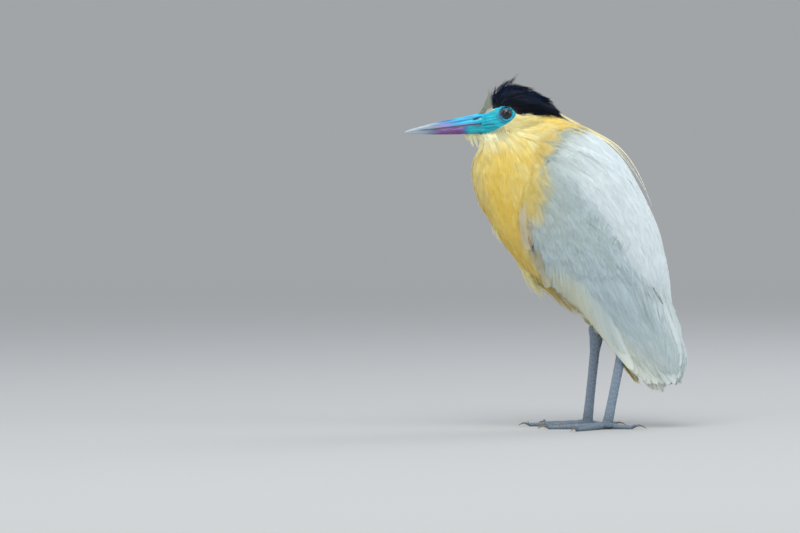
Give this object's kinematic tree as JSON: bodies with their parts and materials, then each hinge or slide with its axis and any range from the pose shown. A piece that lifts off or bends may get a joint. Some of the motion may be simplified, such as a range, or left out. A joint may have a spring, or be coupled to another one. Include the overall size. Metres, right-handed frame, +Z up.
{
  "type": "capped heron",
  "caption": "Life-size still model of a standing heron with its neck drawn in: buff neck, white wings, black cap, nape plumes and blue bill.",
  "frame": {"origin": "on the floor, at the middle of the bird's box", "axes": "+Z up, the bird faces -Y, its left side is towards +X"},
  "size_m": [0.1134, 0.2814, 0.349],
  "materials": {
    "white_feather": "matt pale grey-white plumage",
    "buff_feather": "matt buff-yellow plumage",
    "black_feather": "blue-black plumage with a slight sheen",
    "bill_horn": "satin horn, blue shading to grey at the tip",
    "eye": "wet gloss",
    "leg_skin": "dry scaled blue-grey skin",
    "claw_horn": "satin horn"
  },
  "bodies": {
    "root": {"head": "buff_feather", "crest": "black_feather", "neck": "buff_feather", "trunk": "white_feather", "tail": "white_feather", "bill_upper": "bill_horn", "bill_lower": "bill_horn", "eye_left": "eye", "eye_right": "eye", "wing_left": "white_feather", "wing_right": "white_feather", "thigh_left": "buff_feather", "thigh_right": "buff_feather", "shank_left": "leg_skin", "shank_right": "leg_skin", "foot_left": "leg_skin", "foot_right": "leg_skin", "claw_inner_left": "claw_horn", "claw_middle_left": "claw_horn", "claw_outer_left": "claw_horn", "claw_hind_left": "claw_horn", "claw_inner_right": "claw_horn", "claw_middle_right": "claw_horn", "claw_outer_right": "claw_horn", "claw_hind_right": "claw_horn", "nape_plume_1": "white_feather", "nape_plume_2": "white_feather", "nape_plume_3": "white_feather"}
  },
  "joints": []
}
